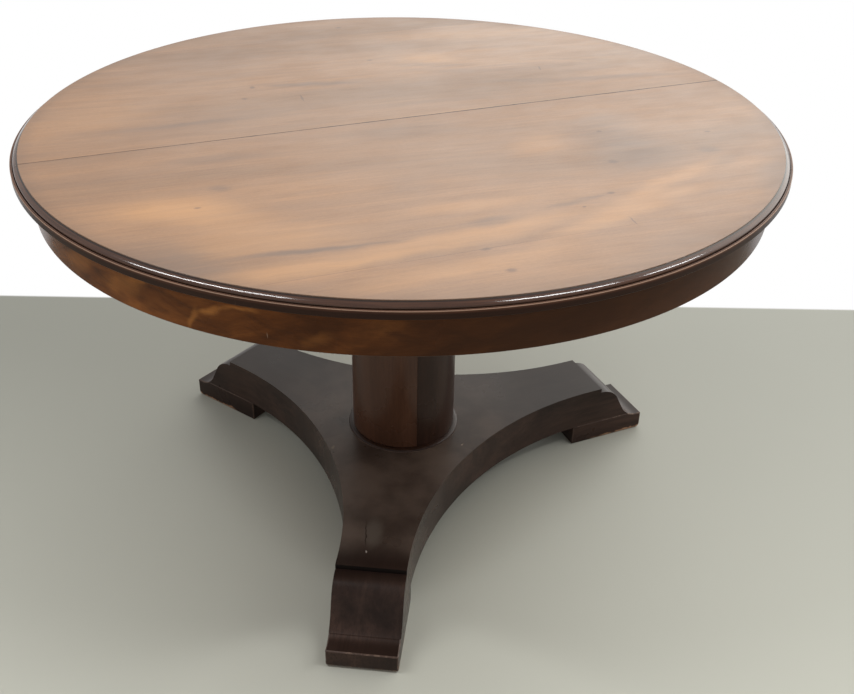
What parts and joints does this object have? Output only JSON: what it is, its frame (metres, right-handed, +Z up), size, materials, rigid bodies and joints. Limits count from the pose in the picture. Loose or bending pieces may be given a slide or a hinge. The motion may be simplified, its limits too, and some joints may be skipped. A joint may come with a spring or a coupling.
{
  "type": "round extending pedestal table",
  "caption": "Round dining table whose top parts along a diameter and draws out on runners, on a round column and a platform with ogee feet.",
  "frame": {"origin": "on the floor, on the column's axis, which is also the middle of the closed top", "axes": "+Z up; +X along the seam between the halves of the top; the front half draws out towards -Y and the back half towards +Y"},
  "size_m": [1.28, 1.2798, 0.76],
  "materials": {
    "top_mahogany": "waxed satin",
    "apron_mahogany": "french polished",
    "column_mahogany": "french polished",
    "base_mahogany": "french polished, worn",
    "pine": "planed, unpolished",
    "oak": "planed and waxed",
    "iron": "dark, forged",
    "screw_steel": "dull, slightly aged"
  },
  "bodies": {
    "pedestal": {"rail_left": "oak", "rail_right": "oak", "rail_crossbar_front": "oak", "rail_crossbar_back": "oak", "stop_pegs": "oak", "bearer": "pine", "bearer_screws": "screw_steel", "column_stave_1": "pine", "column_stave_2": "pine", "column_stave_3": "pine", "column_stave_4": "pine", "column_stave_5": "pine", "column_stave_6": "pine", "column_stave_7": "pine", "column_stave_8": "pine", "column_veneer_front": "column_mahogany", "column_veneer_back": "column_mahogany", "column_bead": "base_mahogany", "column_top_plug": "pine", "column_foot_plug": "pine", "tie_rod": "iron", "tie_nut_top": "iron", "tie_washer_top": "iron", "tie_nut_bottom": "iron", "tie_washer_bottom": "iron", "base_arm_1": "base_mahogany", "base_arm_2": "base_mahogany", "base_arm_3": "base_mahogany", "mitre_spline_1": "oak", "mitre_spline_2": "oak", "mitre_spline_3": "oak", "foot_block_1": "base_mahogany", "foot_block_2": "base_mahogany", "foot_block_3": "base_mahogany", "foot_screws": "screw_steel"},
    "front_half": {"front_inner_board": "top_mahogany", "front_outer_board": "top_mahogany", "front_apron_core_1": "pine", "front_apron_core_2": "pine", "front_apron_core_3": "pine", "front_apron_veneer": "apron_mahogany", "front_glue_blocks": "pine", "front_runner_left": "oak", "front_runner_right": "oak", "front_runner_screws": "screw_steel", "seam_pegs": "oak"},
    "back_half": {"back_inner_board": "top_mahogany", "back_outer_board": "top_mahogany", "back_apron_core_1": "pine", "back_apron_core_2": "pine", "back_apron_core_3": "pine", "back_apron_veneer": "apron_mahogany", "back_glue_blocks": "pine", "back_runner_left": "oak", "back_runner_right": "oak", "back_runner_screws": "screw_steel"}
  },
  "joints": [
    {"name": "front_half_slide", "type": "slide", "parent": "pedestal", "child": "front_half", "axis": [0, -1, 0], "range_m": [0, 0.25]},
    {"name": "back_half_slide", "type": "slide", "parent": "pedestal", "child": "back_half", "axis": [0, 1, 0], "range_m": [0, 0.25]}
  ]
}
